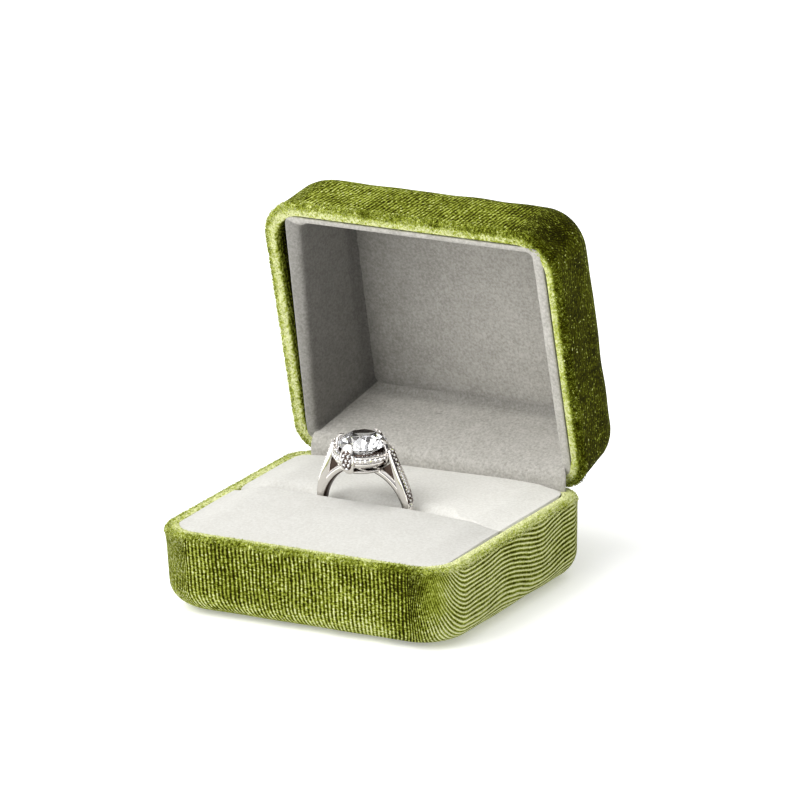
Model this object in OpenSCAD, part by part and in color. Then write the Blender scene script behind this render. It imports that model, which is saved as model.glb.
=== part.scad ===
// Velvet ring box with a hinged lid, a two-roll ring cushion and a halo ring in its slot.
// Origin: centre of the underside. +X to the right, +Y to the back, +Z up, in millimetres.
// The lid is drawn closed and then turned about the hinge pin to where it stands open.

/* [Box] */
// Outside width, left to right
box_w = 60; // [52:1:76]
// Outside depth, front to back
box_d = 50; // [44:1:64]
// Height of the base, from the table to its rim
base_h = 15; // [13.5:0.5:20]
// Depth of the lid, from its rim to its top
lid_h = 18; // [17:0.5:26]
// Angle at which the lid stands open
open_angle = 80; // [60:5:95]

/* [Shape of the halves] */
// Radius of the upright corners
corner_r = 7.5; // [5:0.5:10]
// How far the base's lower edge curves in
base_edge = 4; // [2:0.5:6]
// How high the base's lower edge curves
base_edge_h = 5; // [3:0.5:7]
// How far the lid's upper edge curves in
lid_edge = 9; // [5:0.5:11]
// How high the lid's upper edge curves
lid_edge_h = 9; // [5:0.5:11]
// Slope of the base's walls
base_draft = 0.03; // [0:0.01:0.06]
// Slope of the lid's side walls
lid_side_draft = 0.08; // [0.02:0.01:0.12]
// Slope of the lid's front and rear walls
lid_end_draft = 0.05; // [0.02:0.01:0.1]
// Roundness of the velvet on the rims
rim_r = 1.2; // [0.6:0.1:1.4]

/* [Walls and cloth] */
// Thickness of the moulded shells
wall_t = 1.2; // [1:0.1:1.8]
// Thickness of the velvet
velvet_t = 0.7; // [0.5:0.1:1]
// How far the velvet turns down inside the rims
tuck = 3; // [2:0.5:4]
// Thickness of the card under the base
card_t = 0.8; // [0.5:0.1:1.5]
// Gap between the rims of the closed box
rim_gap = 0.3; // [0.2:0.1:0.6]

/* [Lid liner] */
// Thickness of the suede-covered liner boards
liner_t = 1.6; // [1:0.1:2.2]
// Room between a board and the velvet turned in beside it
liner_gap = 0.2; // [0.1:0.05:0.5]
// How far the boards stand out of the lid's rim
liner_proud = 0.3; // [0:0.1:0.5]
// Depth of the top panel's face behind the rim
panel_depth = 14.2; // [12:0.1:20]
// Thickness of the top panel
panel_t = 1; // [0.6:0.1:2]

/* [Cushion] */
// Height of the cushion's crest over the base's rim
crest_rise = 1.6; // [0.5:0.1:2.5]
// How far the cushion's outer edges lie under the rim
edge_drop = 0.6; // [0.3:0.1:1.5]
// Thickness of the suede on the rolls
suede_t = 0.6; // [0.4:0.1:1]
// Thickness of the board under the cushion
tray_t = 1.8; // [1:0.1:2.5]
// Room on each side of the ring in the slot
slot_gap = 0.25; // [0.15:0.05:0.6]
// Distance of the slot behind the box's middle
slot_y = 1.2; // [-3:0.1:4]

/* [Hinge] */
// Length of the hinge along its pin
hinge_len = 30; // [20:1:40]
// Radius of the hinge barrel
barrel_r = 0.9; // [0.8:0.05:1.1]
// Radius of the hinge pin
pin_r = 0.45; // [0.4:0.05:0.6]
// Radial clearance of the lid's knuckles on the pin
pin_gap = 0.06; // [0.04:0.01:0.1]
// Thickness of the hinge leaves
leaf_t = 0.5; // [0.4:0.05:0.6]
// Height of the hinge leaves
leaf_h = 7; // [5:0.5:9]
// Distance of the pin inside the rear face
pin_inset = 0.6; // [0.5:0.05:0.8]

/* [Ring] */
// Inside radius of the band
band_r = 8.25; // [7.5:0.25:9.5]
// Thickness of the band
band_t = 1.5; // [1.2:0.1:2]
// Width of the band
band_w = 2.2; // [1.6:0.1:3]
// Place of the ring along the slot
ring_x = -1.1; // [-8:0.1:8]
// Radius of the centre stone
stone_r = 3.95; // [3:0.05:4.5]
// Outside radius of the halo
halo_r = 5.4; // [4.8:0.1:6]
// Number of halo stones between two prongs
halo_count = 6; // [4:1:6]
// Number of stones on each shoulder
shoulder_count = 9; // [6:1:10]

/* [Hidden] */
$fn = 48;
eps = 0.01;
slack = 0.1;                                  // room between pieces that are glued or pushed in
shell_fn = 24;                                // facets round the moulded corners
edge_steps = 5;                               // steps in a moulded edge's curve

// Base: where its parts lie
lip = 2 * velvet_t + wall_t;                  // whole thickness of a rim
base_floor = card_t / 2;                      // the velvet ends just above the card's face
tray_z = base_floor + velvet_t + wall_t + slack;
foam_z = tray_z + tray_t;
inner_w = box_w - 2 * lip;
inner_d = box_d - 2 * lip;

// Lid: the rim plane of the closed lid
lid_z = base_h + rim_gap;
liner_w = inner_w - 2 * liner_gap;            // outside of the liner's frame at the rim
liner_d = inner_d - 2 * liner_gap;
liner_lean_x = (lid_side_draft * (lid_h - lid_edge_h) + lid_edge * 0.4) / panel_depth;
liner_lean_y = (lid_end_draft * (lid_h - lid_edge_h) + lid_edge * 0.26) / panel_depth;

// Hinge
hinge_y = box_d / 2 - pin_inset;
hinge_z = base_h + rim_gap / 2;
leaf_y = box_d / 2 - velvet_t - lid_end_draft * leaf_h - leaf_t - slack / 2;   // inner face of both leaves
knuckles = 5;
knuckle_gap = 0.15;
knuckle_pitch = hinge_len / knuckles;
barrel_room = barrel_r + 0.3;
spring_t = 0.2;
spring_w = 8;
spring_gap = 0.05;

// Cushion
slot_w = band_w + 2 * slot_gap;
crest_z = base_h + crest_rise;
edge_z = base_h - edge_drop;
roll_len = inner_w - 2 * slack;               // full length, under the rim
crown_len = liner_w - 2 * liner_t - 2 * rim_gap - 2 * liner_lean_x * crest_rise;   // length over the rim
crown_end = liner_d / 2 - liner_t - rim_gap;  // the crown's reach to the front and the back
crown_steps = 10;

// Ring
band_out = band_r + band_t;
ring_z = foam_z + 0.02 + band_out;            // centre of the band, which stands on the board
halo_z = ring_z + band_out + 0.9;             // underside of the halo
halo_t = 1.4;
halo_in = stone_r + 0.1;
girdle_z = halo_z + halo_t + 0.6;
table_z = girdle_z + stone_r * 0.48;
prong_r = 0.45;
prong_at = halo_in + prong_r * 0.9;
basket_z = ring_z + sqrt(band_out * band_out - 9) - 0.2;
chip_r = 0.42;                                // a small stone
chip_h = 0.35;
halo_start = 12;                              // angle from a prong to the first halo stone

// ---------------------------------------------------------------- shared shapes

// A flat rounded rectangle about the origin
module plate(w, d, r) {
    square([w - 2 * r, d], center = true);
    square([w, d - 2 * r], center = true);
    for (x = [-1, 1], y = [-1, 1]) translate([x * (w / 2 - r), y * (d / 2 - r)]) circle(r);
}

// One moulded half, solid, with its open side down at z = 0 and its closed side up
module cup(w, d, h, r, edge, edge_h, draft_x, draft_y, rim) {
    rise = h - edge_h;
    lower = rim > 0 ? [[0, rim], [0.3 * rim, 0.3 * rim], [rim, 0]] : [[0, 0]];
    bend = [for (k = [0:edge_steps]) let (a = 90 * k / edge_steps)
        [rise + edge_h * sin(a), edge * (1 - cos(a))]];
    hull() for (s = concat(lower, bend)) {
        in_x = s[1] + draft_x * min(s[0], rise);
        in_y = s[1] + draft_y * min(s[0], rise);
        translate([0, 0, min(s[0], h - eps)]) linear_extrude(eps)
            plate(w - 2 * in_x, d - 2 * in_y, max(r - 0.3 * s[1], 1), $fn = shell_fn);
    }
}

// The base and the lid as solids, smaller by an inset all round and begun at a height
module base_half(inset, start, rim = 0) translate([0, 0, start])
    cup(box_w - 2 * inset, box_d - 2 * inset, base_h - base_floor - inset - start, corner_r - inset,
        base_edge - inset / 2, base_edge_h - inset / 2, base_draft, base_draft, rim);

module lid_half(inset, start, rim = 0) translate([0, 0, start])
    cup(box_w - 2 * inset, box_d - 2 * inset, lid_h - inset - start, corner_r - inset,
        lid_edge - inset / 2, lid_edge_h - inset / 2, lid_side_draft, lid_end_draft, rim);

// Straight-sided plug of an opening, from below the rim plane to a depth
module plug(inset, from, to)
    translate([0, 0, from]) linear_extrude(to - from)
        plate(box_w - 2 * inset, box_d - 2 * inset, corner_r - inset, $fn = shell_fn);

module in_base() translate([0, 0, base_h]) mirror([0, 0, 1]) children();
module in_lid() translate([0, 0, lid_z]) children();

// Turns what is drawn on the closed lid to where the lid stands open
module opened()
    translate([0, hinge_y, hinge_z]) rotate([-open_angle, 0, 0])
        translate([0, -hinge_y, -hinge_z]) children();

// Velvet over a half: outer skin, rim and the turned-in edge. children(0) is the half's outside,
// children(1) its shell as a solid, which the velvet fits, and children(2) the room in the shell.
module velvet_skin() {
    difference() {
        children(0);
        children(1);
        plug(lip, -1, velvet_t + eps);
    }
    difference() {
        intersection() {
            plug(velvet_t + wall_t, velvet_t / 2, tuck);
            children(2);
        }
        plug(lip, -1, tuck + 1);
    }
}

// Room for the hinge barrel in the rear rims
module barrel_slot()
    translate([-hinge_len / 2 - 0.3, hinge_y - barrel_room, hinge_z - barrel_room])
        cube([hinge_len + 0.6, barrel_room + pin_inset + 1, 2 * barrel_room]);

// Recess in a rear wall for a hinge leaf, and the pocket of the spring
module leaf_recess(up)
    translate([-hinge_len / 2 - slack, leaf_y - slack / 2, up > 0 ? hinge_z : hinge_z - leaf_h - slack])
        cube([hinge_len + 2 * slack, box_d, leaf_h + slack]);

module spring_pocket()
    translate([-spring_w / 2 - slack, leaf_y - spring_t - 2 * slack, hinge_z - leaf_h - slack])
        cube([spring_w + 2 * slack, box_d, leaf_h + slack]);

// ---------------------------------------------------------------- base

module bottom_card() color("#6b6f3a")
    linear_extrude(card_t) plate(box_w - 4 * base_edge, box_d - 4 * base_edge, corner_r - base_edge / 2);

module base_shell() color("#d8d4c8") difference() {
    in_base() base_half(velvet_t, velvet_t);
    in_base() base_half(velvet_t + wall_t, -1);
    barrel_slot();
    leaf_recess(-1);
    spring_pocket();
    linear_extrude(card_t + slack) plate(box_w - 4 * base_edge + slack, box_d - 4 * base_edge + slack,
                                         corner_r - base_edge / 2);
}

module base_velvet() color("#7f8f35") difference() {
    in_base() velvet_skin() {
        base_half(0, 0, rim_r);
        base_half(velvet_t, velvet_t);
        base_half(velvet_t + wall_t, -1);
    }
    barrel_slot();
    linear_extrude(card_t + slack / 2)
        plate(box_w - 4 * base_edge + slack, box_d - 4 * base_edge + slack, corner_r - base_edge / 2);
}

module insert_tray() color("#cfc9ba") translate([0, 0, tray_z]) linear_extrude(tray_t)
    plate(inner_w - 2 * base_edge, inner_d - 2 * base_edge, corner_r - lip - base_edge / 4);

// ---------------------------------------------------------------- cushion

// Height of the cushion's top: low at the rim, highest beside the slot
function crown(t) = edge_z + (crest_z - edge_z) * sin(90 * t);

// Section of a roll across the box: side is -1 for the front roll and 1 for the rear roll.
// inset draws the foam inside its cover.
module roll_section(side, inset) {
    near = slot_w / 2 + inset;                               // the slot's face
    far = crown_end - side * slot_y;                         // where the crown ends
    steps = [for (k = [crown_steps:-1:0]) let (t = k / crown_steps)
        [near + (far - near) * (1 - t) - (k == crown_steps ? 0 : inset * (1 - t)), crown(t) - inset]];
    translate([slot_y, 0]) scale_side(side)
        polygon(concat([[near, foam_z + inset]], steps, [[far - inset, foam_z + inset]]));
}

module scale_side(side) mirror([side < 0 ? 1 : 0, 0]) children();

// The foot of a roll, which fills the base under the rim
module roll_foot(side, inset) {
    near = slot_w / 2 + inset;
    far = inner_d / 2 - slack - side * slot_y - inset;
    translate([slot_y, 0]) scale_side(side)
        translate([near, foam_z + base_edge_h + inset]) square([far - near, edge_z - foam_z - base_edge_h - 2 * inset]);
}

// A roll along X: its section is drawn in Y and Z
module roll(side, inset) {
    intersection() {
        along(crown_len - 2 * inset) roll_section(side, inset);
        linear_extrude(2 * base_h) plate(crown_len - 2 * inset, 2 * crown_end - 2 * inset, corner_r * 0.4);
    }
    intersection() {
        along(roll_len - 2 * inset) roll_foot(side, inset);
        translate([0, 0, foam_z - 1]) linear_extrude(base_h)
            plate(roll_len - 2 * inset, inner_d - 2 * slack - 2 * inset, corner_r - lip - inset / 2);
    }
}

module along(length) rotate([90, 0, 90]) translate([0, 0, -length / 2]) linear_extrude(length) children();

module front_foam() color("#e8e0c4") roll(-1, suede_t);
module rear_foam() color("#e8e0c4") roll(1, suede_t);
module front_cover() color("#ecebe4") difference() { roll(-1, 0); roll(-1, suede_t); }
module rear_cover() color("#e8e7e1") difference() { roll(1, 0); roll(1, suede_t); }

// ---------------------------------------------------------------- hinge

// Knuckles number first, first + 2 and so on, each round the pin
module knuckle_row(first, bore) difference() {
    for (k = [first:2:knuckles - 1])
        translate([-hinge_len / 2 + k * knuckle_pitch + knuckle_gap / 2, hinge_y, hinge_z])
            rotate([0, 90, 0]) cylinder(r = barrel_r, h = knuckle_pitch - knuckle_gap);
    translate([-hinge_len, hinge_y, hinge_z]) rotate([0, 90, 0]) cylinder(r = bore, h = 2 * hinge_len);
}

// A leaf below (up = -1) or above (up = 1) the barrel, with a tab to each of its knuckles
module leaf(first, up) {
    start = up > 0 ? hinge_z + barrel_room : hinge_z - leaf_h;
    translate([-hinge_len / 2, leaf_y, start]) cube([hinge_len, leaf_t, leaf_h - barrel_room]);
    for (k = [first:2:knuckles - 1]) difference() {
        translate([-hinge_len / 2 + k * knuckle_pitch + knuckle_gap / 2, leaf_y,
                   up > 0 ? hinge_z : hinge_z - barrel_room - eps])
            cube([knuckle_pitch - knuckle_gap, leaf_t, barrel_room + eps]);
        translate([-hinge_len, hinge_y, hinge_z]) rotate([0, 90, 0])
            cylinder(r = barrel_r - slack, h = 2 * hinge_len);
    }
}

module hinge_leaf_base() color("#b9a36a") {
    knuckle_row(0, pin_r);
    leaf(0, -1);
}

module hinge_leaf_lid() color("#b9a36a") opened() {
    knuckle_row(1, pin_r + pin_gap);
    leaf(1, 1);
}

module hinge_pin() color("#9a9a98") translate([-hinge_len / 2, hinge_y, hinge_z])
    rotate([0, 90, 0]) cylinder(r = pin_r, h = hinge_len);

module snap_spring() color("#8f9194")
    translate([-spring_w / 2, leaf_y - spring_t - spring_gap, hinge_z - leaf_h])
        cube([spring_w, spring_t, leaf_h - barrel_room]);

// ---------------------------------------------------------------- lid

module lid_shell() color("#d8d4c8") opened() difference() {
    in_lid() lid_half(velvet_t, velvet_t);
    in_lid() lid_half(velvet_t + wall_t, -1);
    barrel_slot();
    leaf_recess(1);
}

module lid_velvet() color("#7f8f35") opened() difference() {
    in_lid() velvet_skin() {
        lid_half(0, 0, rim_r);
        lid_half(velvet_t, velvet_t);
        lid_half(velvet_t + wall_t, -1);
    }
    barrel_slot();
}

// The four boards as one frame that leans in as it goes up: round outside corners, square inside
module liner_frame() difference() {
    hull() {
        translate([0, 0, -liner_proud]) liner_plate(0);
        translate([0, 0, panel_depth - eps]) liner_plate(panel_depth);
    }
    hull() {
        translate([0, 0, -liner_proud - 1]) liner_window(-1);
        translate([0, 0, panel_depth + 1]) liner_window(panel_depth + 1);
    }
}

module liner_plate(deep) linear_extrude(eps)
    plate(liner_w - 2 * liner_lean_x * deep, liner_d - 2 * liner_lean_y * deep, corner_r - lip - liner_gap,
          $fn = shell_fn);

module liner_window(deep) linear_extrude(eps)
    square([liner_w - 2 * liner_t - 2 * liner_lean_x * deep,
            liner_d - 2 * liner_t - 2 * liner_lean_y * deep], center = true);

// One board: the part of the frame on the far side of the mitres. w and d are the opening's sizes
// along and across the board, and lean_w and lean_d how far it narrows.
module mitre(w, d, lean_w, lean_d) translate([0, slack / 2, -lid_h]) linear_extrude(3 * lid_h) polygon([
    [-w / 2 + lean_w, d / 2 - lean_d], [w / 2 - lean_w, d / 2 - lean_d], [w / 2, d / 2],
    [w / 2 + d, d / 2 + d], [-w / 2 - d, d / 2 + d], [-w / 2, d / 2]]);

module board(turn) opened() in_lid() intersection() {
    liner_frame();
    rotate([0, 0, turn]) if (turn % 180 == 0)
        mitre(liner_w - 2 * liner_t, liner_d - 2 * liner_t, liner_lean_x * lid_h, liner_lean_y * lid_h);
    else
        mitre(liner_d - 2 * liner_t, liner_w - 2 * liner_t, liner_lean_y * lid_h, liner_lean_x * lid_h);
}

module liner_front() color("#b4b2a8") board(180);
module liner_rear() color("#b4b2a8") board(0);
module liner_left() color("#b4b2a8") board(90);
module liner_right() color("#b4b2a8") board(-90);

module liner_panel() color("#a8a69c") opened() in_lid() intersection() {
    translate([0, 0, panel_depth + slack / 2]) linear_extrude(panel_t)
        square([liner_w - 2 * liner_lean_x * panel_depth - slack,
                liner_d - 2 * liner_lean_y * panel_depth - slack], center = true);
    lid_half(velvet_t + wall_t + slack, -1);
}

// ---------------------------------------------------------------- ring

module at_ring() translate([ring_x, slot_y, ring_z]) children();
module on_ring() translate([ring_x, slot_y, 0]) children();

// The outline of one shoulder, in X and Z from the band's centre
module shoulder_outline() {
    head = halo_z - ring_z;
    polygon([[band_out - 0.55, 1.5], [band_out + 0.05, 1.5], [halo_r + 0.8, head + halo_t],
             [halo_r - 0.55, head + halo_t], [halo_r + 0.3, head - 1.4], [band_out - 1.6, 5.2]]);
}

module ring_band() color("#d9d9dc") at_ring() difference() {
    union() {
        rotate([90, 0, 0]) rotate_extrude() translate([band_r, -band_w / 2]) square([band_t, band_w]);
        for (s = [0, 1]) mirror([s, 0, 0]) rotate([90, 0, 0]) translate([0, 0, -band_w / 2])
            linear_extrude(band_w) shoulder_outline();
    }
    translate([0, 0, halo_z - ring_z - slack]) cylinder(r = halo_r + slack, h = 2 * halo_t + 2);
    rotate([90, 0, 0]) cylinder(r = band_r, h = 2 * band_w, center = true);
}

// Open cone from the band up to the halo
module ring_basket() color("#d9d9dc") on_ring() difference() {
    translate([0, 0, basket_z + 0.4]) cylinder(r1 = halo_in - 1.2, r2 = halo_in + 0.5, h = halo_z - basket_z - 0.4);
    translate([0, 0, basket_z]) cylinder(r1 = halo_in - 2.1, r2 = halo_in - 0.3, h = halo_z - basket_z + eps);
    translate([0, 0, ring_z]) rotate([90, 0, 0]) cylinder(r = band_out + eps, h = 20, center = true);
    at_band() cube([40, band_w + slack, 40], center = true);
}

module at_band() translate([0, 0, ring_z + band_out - 19.2]) children();

module ring_halo() color("#dcdcde") on_ring() translate([0, 0, halo_z]) difference() {
    cylinder(r = halo_r, h = halo_t);
    translate([0, 0, -1]) cylinder(r = halo_in, h = halo_t + 2);
    prong_places() translate([0, 0, -1]) cylinder(r = prong_r, h = 4);
}

module prong_places() for (k = [0:3]) rotate([0, 0, 90 * k]) translate([prong_at, 0, 0]) children();

module ring_prongs() color("#e2e2e4") on_ring() difference() {
    translate([0, 0, halo_z]) prong_places() {
        cylinder(r = prong_r, h = girdle_z - halo_z + 0.5);
        translate([0, 0, girdle_z - halo_z + 0.5]) sphere(prong_r);
    }
    stone_solid(slack / 2);
}

// Round brilliant: pavilion, girdle, crown and table
module stone_solid(extra) translate([0, 0, girdle_z]) rotate_extrude() polygon([
    [0, -stone_r * 0.68 - extra], [stone_r + extra, -0.15 - extra], [stone_r + extra, 0.15 + extra],
    [stone_r * 0.56, table_z - girdle_z + extra], [0, table_z - girdle_z + extra]]);

module centre_stone() color("#eef2f6", 0.6) on_ring() stone_solid(0);

module halo_stones() color("#f4f6fa") on_ring()
    for (q = [0:3], k = [0:halo_count - 1])
        rotate([0, 0, 90 * q + halo_start + (90 - 2 * halo_start) * k / (halo_count - 1)])
            translate([(halo_in + halo_r) / 2 + 0.1, 0, halo_z + halo_t])
                cylinder(r1 = chip_r, r2 = chip_r * 0.6, h = chip_h);

// Small stones set along the outer face of both shoulders
module shoulder_stones() color("#f4f6fa") at_ring() {
    foot = [band_out + 0.05, 1.5];
    head = [halo_r + 0.8, halo_z - ring_z + halo_t];
    tilt = atan2(foot[0] - head[0], head[1] - foot[1]);
    for (s = [0, 1], k = [0:shoulder_count - 1]) mirror([s, 0, 0]) {
        t = (k + 0.5) / (shoulder_count + 1.5);
        translate([foot[0] + (head[0] - foot[0]) * t, 0, foot[1] + (head[1] - foot[1]) * t])
            rotate([0, 90 - tilt, 0]) cylinder(r1 = chip_r, r2 = chip_r * 0.6, h = chip_h);
    }
}

bottom_card();
base_shell();
base_velvet();
insert_tray();
front_foam();
front_cover();
rear_foam();
rear_cover();
hinge_leaf_base();
hinge_pin();
snap_spring();
lid_shell();
lid_velvet();
liner_front();
liner_rear();
liner_left();
liner_right();
liner_panel();
hinge_leaf_lid();
ring_band();
ring_basket();
ring_halo();
ring_prongs();
centre_stone();
halo_stones();
shoulder_stones();
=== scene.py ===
"""Velvet ring box with its halo ring, dressed and lit for a studio view.

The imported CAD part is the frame. The velvet, the suede, the cushion and the ring are modelled here in its
place, in metres: +X to the right, +Y to the back, +Z up. The lid is modelled closed and then opened.
"""

import logging
import math
import random
from dataclasses import dataclass, field
from enum import Enum
from typing import Callable, Iterable, Sequence

import bmesh
import bpy
from mathutils import Matrix, Vector, noise

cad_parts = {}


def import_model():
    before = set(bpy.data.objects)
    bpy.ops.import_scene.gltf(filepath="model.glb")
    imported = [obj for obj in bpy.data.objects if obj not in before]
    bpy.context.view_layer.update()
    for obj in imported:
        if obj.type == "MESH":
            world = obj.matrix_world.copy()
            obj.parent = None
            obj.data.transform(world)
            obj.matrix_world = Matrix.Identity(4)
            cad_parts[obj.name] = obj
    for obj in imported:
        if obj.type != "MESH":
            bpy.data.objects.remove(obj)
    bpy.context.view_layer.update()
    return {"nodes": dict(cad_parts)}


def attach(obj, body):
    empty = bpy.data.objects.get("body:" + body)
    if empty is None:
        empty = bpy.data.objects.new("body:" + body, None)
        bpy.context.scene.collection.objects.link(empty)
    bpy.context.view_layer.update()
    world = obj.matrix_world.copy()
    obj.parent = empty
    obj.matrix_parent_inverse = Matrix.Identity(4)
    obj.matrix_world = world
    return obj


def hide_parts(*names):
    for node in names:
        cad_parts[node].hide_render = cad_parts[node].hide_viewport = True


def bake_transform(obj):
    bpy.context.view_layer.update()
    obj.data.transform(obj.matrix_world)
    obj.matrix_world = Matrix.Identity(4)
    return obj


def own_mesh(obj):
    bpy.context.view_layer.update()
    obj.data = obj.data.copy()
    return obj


LOG = logging.getLogger("ring_box")
MM = 0.001
QUARTER = math.pi / 2

# The box, in millimetres
BOX_W = 60.0
BOX_D = 50.0
BASE_H = 15.0
LID_H = 18.0
RIM_GAP = 0.3
BASE_FLOOR = 0.4
HINGE_Y = 24.4
HINGE_Z = 15.15
HINGE_HALF = 15.3
OPEN_ANGLE = math.radians(80)
VELVET_T = 0.7
LIP = 2.6
TUCK = 3.0
FOAM_Z = 4.2
FIT = 0.05
REAR_Y = 15

TURN = 2 * math.pi
UP = Vector((0, 0, 1))
Mesh = bmesh.types.BMesh
Material = bpy.types.Material
Socket = bpy.types.NodeSocket
Colour = tuple[float, float, float]
Plan = tuple[tuple[float, float], ...]
Row = tuple[float, float, float]
Cloth = tuple[Vector, Vector]


def srgb(red: float, green: float, blue: float, gain: float = 1.0) -> Colour:
    """Linear colour of an 8-bit display colour.

    Args:
        red: red, 0 to 255.
        green: green, 0 to 255.
        blue: blue, 0 to 255.
        gain: factor on the linear colour.

    Returns:
        The linear colour.
    """
    def linear(value: float) -> float:
        """One channel, made linear."""
        share = value / 255
        return gain * (share / 12.92 if share <= 0.04045 else ((share + 0.055) / 1.055) ** 2.4)

    return (linear(red), linear(green), linear(blue))


def smooth(edge_a: float, edge_b: float, value: float) -> float:
    """Smooth step of value, from 0 at edge_a to 1 at edge_b."""
    share = min(max((value - edge_a) / (edge_b - edge_a), 0.0), 1.0)
    return share * share * (3 - 2 * share)


def blend(a: float, b: float, share: float) -> float:
    """Value between a and b."""
    return a + (b - a) * share


def hump(value: float, middle: float, spread: float) -> float:
    """Bell curve of height 1 at its middle."""
    return math.exp(-(((value - middle) / spread) ** 2))


def track(knots: Sequence[tuple[float, float]], value: float) -> float:
    """Smooth curve through knots of (place, height), level beyond its ends."""
    if value <= knots[0][0]:
        return knots[0][1]
    for (place_a, height_a), (place_b, height_b) in zip(knots, knots[1:]):
        if value <= place_b:
            return blend(height_a, height_b, smooth(place_a, place_b, value))
    return knots[-1][1]


def opened(point: Vector) -> Vector:
    """Takes a point in millimetres on the closed lid to where the lid stands open."""
    y = point.y - HINGE_Y
    z = point.z - HINGE_Z
    cos_a = math.cos(OPEN_ANGLE)
    sin_a = -math.sin(OPEN_ANGLE)
    return Vector((point.x, HINGE_Y + y * cos_a - z * sin_a, HINGE_Z + y * sin_a + z * cos_a))


def level(turn: float) -> Vector:
    """Level direction at an angle from +X."""
    return Vector((math.cos(turn), math.sin(turn), 0))


def station(path: Sequence[tuple[float, ...]], share: float) -> tuple[float, ...]:
    """The numbers at a share of a path of evenly spread stations, mixed from the two beside it."""
    index = min(int(share * (len(path) - 1)), len(path) - 2)
    part = share * (len(path) - 1) - index
    return tuple(blend(a, b, part) for a, b in zip(path[index], path[index + 1]))


def nearest(rows: Sequence[Row], share: float) -> Row:
    """The row at a share of a list of rows."""
    return rows[round(share * (len(rows) - 1))]


def aimed(centre: Vector, aim: Vector) -> Matrix:
    """Turns +Z along an aim and moves it to a centre in millimetres."""
    return Matrix.Translation(centre * MM) @ aim.to_track_quat("Z", "Y").to_matrix().to_4x4()


def placed(name: str, data: bpy.types.ID) -> bpy.types.Object:
    """Adds an object with its data to the scene."""
    made = bpy.data.objects.new(name, data)
    bpy.context.scene.collection.objects.link(made)
    return made


# ---------------------------------------------------------------- materials


class Graph:
    """The nodes of a material or a sky, with short calls for those that the finishes use."""

    def __init__(self, owner: Material | bpy.types.World) -> None:
        """Starts on the nodes of a new material or world."""
        owner.use_nodes = True
        self.owner = owner
        self.tree = owner.node_tree
        self.shader = self.tree.nodes.get("Principled BSDF") or self.tree.nodes["Background"]

    def node(self, kind: str, **settings: object) -> bpy.types.Node:
        """Adds a node and sets its properties."""
        made = self.tree.nodes.new(kind)
        for key, value in settings.items():
            setattr(made, key, value)
        return made

    def feed(self, socket: Socket, value: object) -> None:
        """Links a socket, or sets a constant, on an input."""
        if isinstance(value, Socket):
            self.tree.links.new(value, socket)
        else:
            socket.default_value = value

    def place(self) -> Socket:
        """Object coordinates."""
        return self.node("ShaderNodeTexCoord").outputs["Object"]

    def split(self, value: Socket) -> bpy.types.NodeOutputs:
        """Three numbers of a vector."""
        parts = self.node("ShaderNodeSeparateXYZ")
        self.feed(parts.inputs[0], value)
        return parts.outputs

    def attribute(self, name: str) -> bpy.types.NodeOutputs:
        """Three numbers of a vertex attribute."""
        return self.split(self.node("ShaderNodeAttribute", attribute_name=name).outputs["Vector"])

    def math(self, operation: str, a: object, b: object = 0.0, c: object = 0.0) -> Socket:
        """One arithmetic step."""
        made = self.node("ShaderNodeMath", operation=operation)
        for socket, value in zip(made.inputs, (a, b, c)):
            self.feed(socket, value)
        return made.outputs[0]

    def times(self, a: object, b: object) -> Socket:
        """Product of two numbers."""
        return self.math("MULTIPLY", a, b)

    def noise(self, vector: object, scale: float, detail: float = 2.0, rough: float = 0.5,
              warp: float = 0.0) -> Socket:
        """Soft noise from 0 to 1."""
        made = self.node("ShaderNodeTexNoise")
        for key, value in (("Vector", vector), ("Scale", scale), ("Detail", detail), ("Roughness", rough),
                           ("Distortion", warp)):
            self.feed(made.inputs[key], value)
        return made.outputs["Fac"]

    def cloud(self, *settings: object) -> Socket:
        """Soft noise from -0.5 to 0.5, with the settings of noise."""
        return self.math("SUBTRACT", self.noise(*settings), 0.5)

    def vector(self, x: object, y: object, z: object) -> Socket:
        """Joins three numbers."""
        made = self.node("ShaderNodeCombineXYZ")
        for socket, value in zip(made.inputs, (x, y, z)):
            self.feed(socket, value)
        return made.outputs[0]

    def ramp(self, value: object, stops: Sequence[tuple[float, Colour]]) -> Socket:
        """Colour along a ramp."""
        made = self.node("ShaderNodeValToRGB")
        self.feed(made.inputs[0], value)
        elements = made.color_ramp.elements
        while len(elements) < len(stops):
            elements.new(0.5)
        for element, (place, colour) in zip(elements, stops):
            element.position = place
            element.color = (*colour, 1.0)
        return made.outputs["Color"]

    def relief(self, height: object, distance: float, strength: float = 1.0) -> None:
        """Puts a bump on the shader."""
        made = self.node("ShaderNodeBump")
        made.inputs["Strength"].default_value = strength
        made.inputs["Distance"].default_value = distance
        self.feed(made.inputs["Height"], height)
        self.feed(self.shader.inputs["Normal"], made.outputs[0])

    def set(self, **values: object) -> None:
        """Sets or links inputs of the shader, named with _ for a space."""
        for key, value in values.items():
            socket = self.shader.inputs[key.replace("_", " ")]
            self.feed(socket, (*value, 1.0) if isinstance(value, tuple) and len(value) == 3 else value)


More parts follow.
